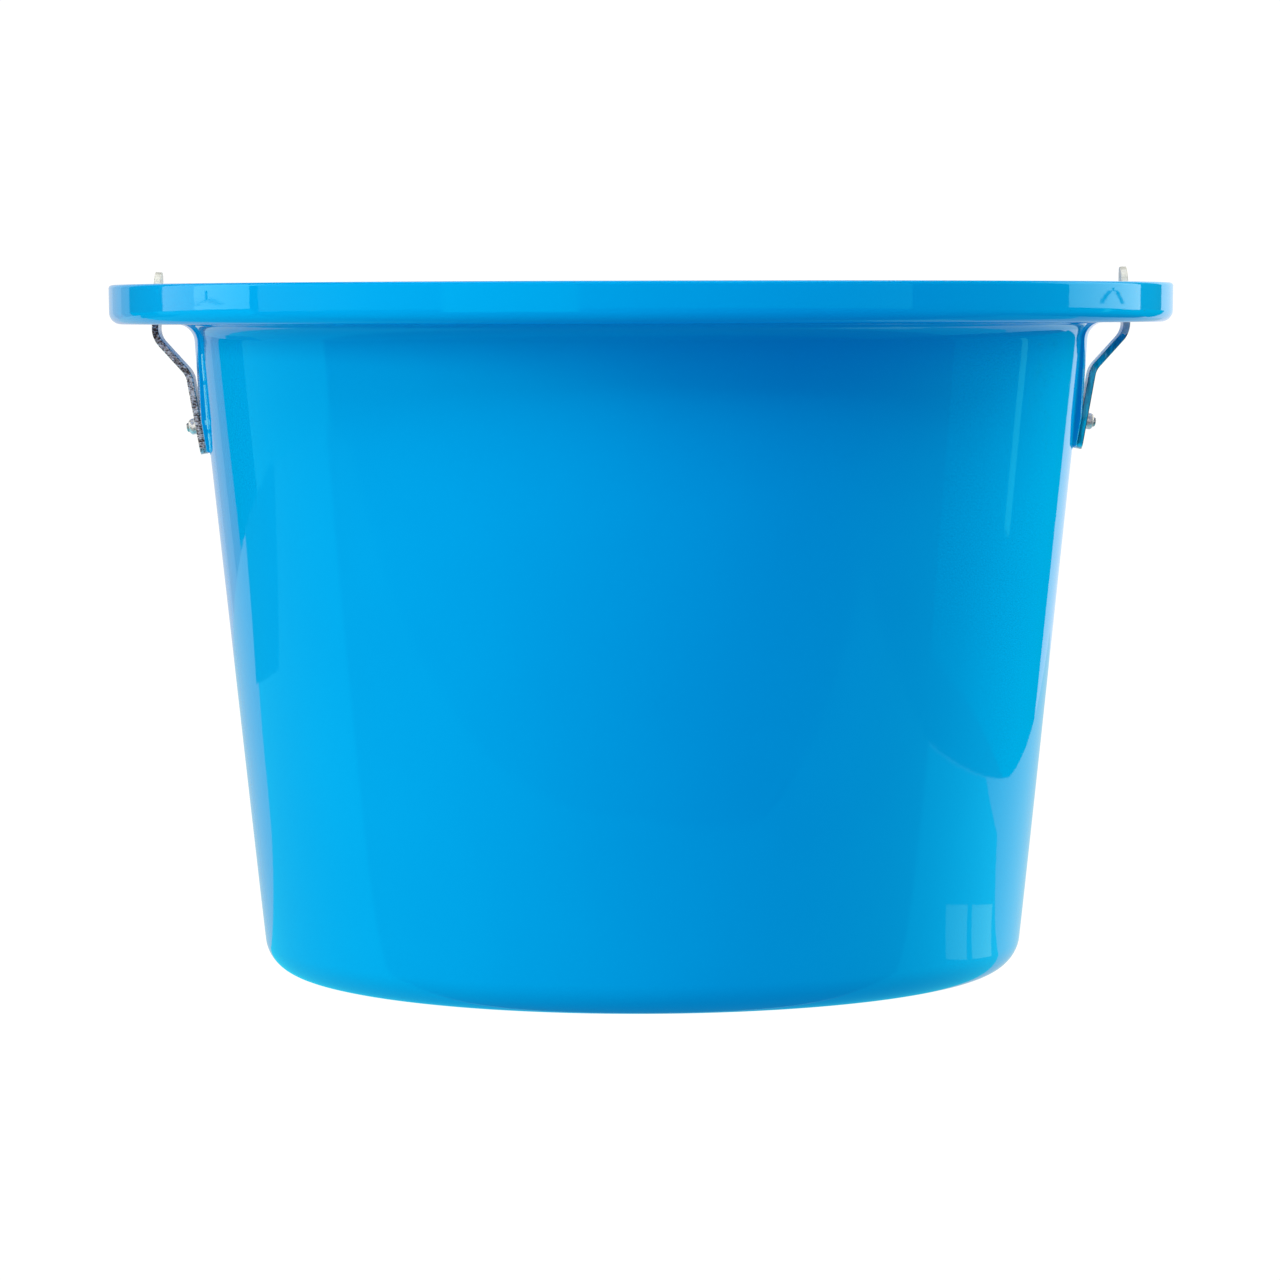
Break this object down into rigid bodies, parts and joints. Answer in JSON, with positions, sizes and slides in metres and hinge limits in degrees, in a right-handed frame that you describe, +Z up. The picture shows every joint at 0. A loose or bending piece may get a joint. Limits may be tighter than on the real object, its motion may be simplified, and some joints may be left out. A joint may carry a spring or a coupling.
{
  "type": "feed bucket",
  "caption": "Round tapered plastic stable feed bucket with a gutter rim, riveted steel side straps and a folding wire bail.",
  "frame": {"origin": "centre of the base, on the floor plane", "axes": "+Z up out of the mouth; the straps stand at +X and -X, so the bail turns about X; the folded bail lies on the +Y side"},
  "size_m": [0.41, 0.4098, 0.2713],
  "materials": {
    "bucket_plastic": "glossy light blue polypropylene",
    "strap_steel": "bright zinc plated strip with sheared edges",
    "rivet_aluminium": "bright aluminium, slightly irregular",
    "mandrel_steel": "dull zinc plated steel",
    "washer_steel": "zinc plated steel",
    "bail_wire": "galvanised drawn wire"
  },
  "bodies": {
    "root": {"bucket_body": "bucket_plastic", "strap_left": "strap_steel", "strap_right": "strap_steel", "rivet_left": "rivet_aluminium", "rivet_right": "rivet_aluminium", "rivet_mandrel_left": "mandrel_steel", "rivet_mandrel_right": "mandrel_steel", "washer_left": "washer_steel", "washer_right": "washer_steel"},
    "bail": {"bail_handle": "bail_wire"}
  },
  "joints": [
    {"name": "bail_hinge", "type": "hinge", "parent": "root", "child": "bail", "pos_m": [0, 0, 0.262], "axis": [1, 0, 0], "range_deg": [0, 183.6]}
  ]
}
